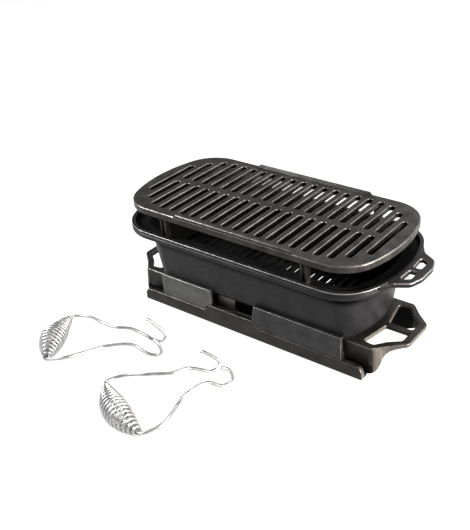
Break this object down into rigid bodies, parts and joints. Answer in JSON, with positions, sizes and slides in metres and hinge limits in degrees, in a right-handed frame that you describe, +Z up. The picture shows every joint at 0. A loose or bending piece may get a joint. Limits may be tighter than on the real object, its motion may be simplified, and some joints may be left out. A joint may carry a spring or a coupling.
{
  "type": "hibachi grill",
  "caption": "Tabletop cast-iron charcoal grill: slotted grate on legs, oval fire bowl, coal grate, stand with sliding draught doors, and wire bail lifters.",
  "frame": {"origin": "centre of the base's flat underside, on the ground", "axes": "+X along the grill's length, +Y towards the back away from the draught doors, +Z up"},
  "size_m": [0.5008, 0.4559, 0.1871],
  "materials": {
    "grate_iron": "seasoned, bare metal on worn edges",
    "bowl_iron": "seasoned, satin black",
    "base_iron": "seasoned, satin black",
    "door_iron": "seasoned, machined edges",
    "coal_iron": "seasoned, sooty matte",
    "bright_steel": "nickel-plated wire, satin"
  },
  "bodies": {
    "stand": {"base": "base_iron"},
    "bowl": {"fire_bowl": "bowl_iron"},
    "coal_grate": {"coal_grate": "coal_iron"},
    "cooking_grate": {"cooking_grate": "grate_iron"},
    "left_door": {"left_draft_door": "door_iron"},
    "right_door": {"right_draft_door": "door_iron"},
    "front_lifter": {"front_lifter_bail": "bright_steel", "front_lifter_grip": "bright_steel"},
    "rear_lifter": {"rear_lifter_bail": "bright_steel", "rear_lifter_grip": "bright_steel"}
  },
  "joints": [
    {"name": "bowl_lift", "type": "slide", "parent": "stand", "child": "bowl", "axis": [0, 0, 1], "range_m": [0, 0.1]},
    {"name": "coal_grate_lift", "type": "slide", "parent": "bowl", "child": "coal_grate", "axis": [0, 0, 1], "range_m": [0, 0.06]},
    {"name": "cooking_grate_lift", "type": "slide", "parent": "bowl", "child": "cooking_grate", "axis": [0, 0, 1], "range_m": [0, 0.12]},
    {"name": "left_door_slide", "type": "slide", "parent": "stand", "child": "left_door", "axis": [1, 0, 0], "range_m": [-0.036, 0]},
    {"name": "right_door_slide", "type": "slide", "parent": "stand", "child": "right_door", "axis": [1, 0, 0], "range_m": [0, 0.032]},
    {"name": "front_lifter_lift", "type": "slide", "parent": "stand", "child": "front_lifter", "axis": [0, 0, 1], "range_m": [0, 0.12]},
    {"name": "rear_lifter_lift", "type": "slide", "parent": "stand", "child": "rear_lifter", "axis": [0, 0, 1], "range_m": [0, 0.12]}
  ]
}
